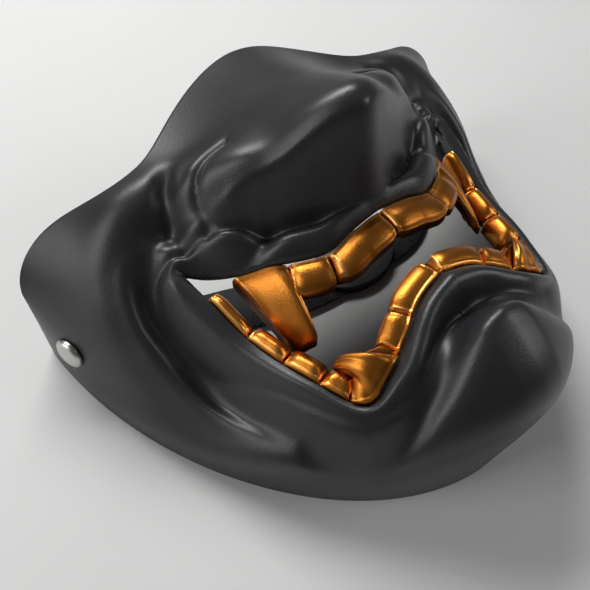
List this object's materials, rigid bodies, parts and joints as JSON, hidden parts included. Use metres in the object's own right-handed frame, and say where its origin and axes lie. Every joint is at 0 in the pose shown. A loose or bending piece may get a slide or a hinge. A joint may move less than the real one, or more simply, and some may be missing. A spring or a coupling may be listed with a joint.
{
  "type": "half face guard",
  "caption": "Matt black half face guard in the manner of a samurai mempo, with a snarling mouth, copper-gold teeth and an elastic head strap.",
  "frame": {"origin": "middle of the guard's box in plan, at the floor that its back rim rests on", "axes": "+Z the way the face looks, away from the wearer; +Y up the face towards the brow; +X the wearer's left"},
  "size_m": [0.181, 0.136, 0.096],
  "materials": {
    "shell_black": "satin matt black",
    "teeth_gold": "copper-gold metallic paint, darker in the grooves",
    "rivet_nickel": "bright nickel",
    "strap_elastic": "woven black elastic",
    "slider_black": "plain dark plastic"
  },
  "bodies": {
    "root": {"face_shell": "shell_black", "upper_teeth": "teeth_gold", "lower_teeth": "teeth_gold", "rivet_right": "rivet_nickel", "rivet_left": "rivet_nickel", "head_strap": "strap_elastic", "strap_slider": "slider_black"}
  },
  "joints": []
}
